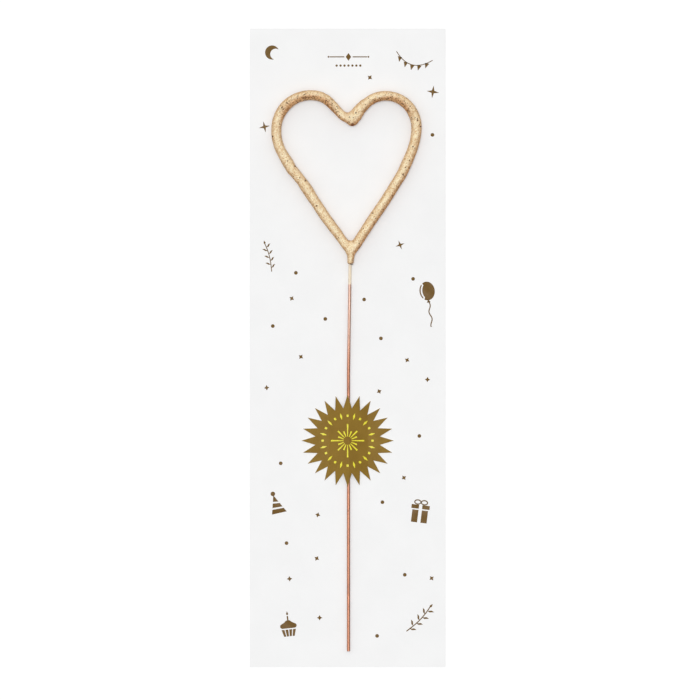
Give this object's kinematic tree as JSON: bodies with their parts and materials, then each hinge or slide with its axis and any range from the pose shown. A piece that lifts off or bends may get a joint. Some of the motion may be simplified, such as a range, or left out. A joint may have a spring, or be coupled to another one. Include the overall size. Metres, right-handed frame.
{
  "type": "heart sparkler on a display card",
  "caption": "Heart-shaped hand sparkler: copper wire stem bent into a gold-coated heart, held flat on a tall white display card by a starburst paper label that it slides out of.",
  "frame": {"origin": "middle of the card's back face, which lies on z = 0", "axes": "+Z out of the card's printed face, +Y along the card towards the heart, +X to the right of the card"},
  "size_m": [0.0896, 0.292, 0.0054],
  "materials": {
    "card_board": "matte",
    "label_glue": "matte",
    "label_paper": "satin",
    "copper_wire": "satin",
    "gold_coating": "satin"
  },
  "bodies": {
    "card": {"display_card": "card_board", "label_adhesive": "label_glue", "starburst_label": "label_paper"},
    "sparkler": {"core_wire": "copper_wire", "spark_coating": "gold_coating"}
  },
  "joints": [
    {"name": "sparkler_slide", "type": "slide", "parent": "card", "child": "sparkler", "axis": [0, 1, 0], "range_m": [-0.006, 0.118]}
  ]
}
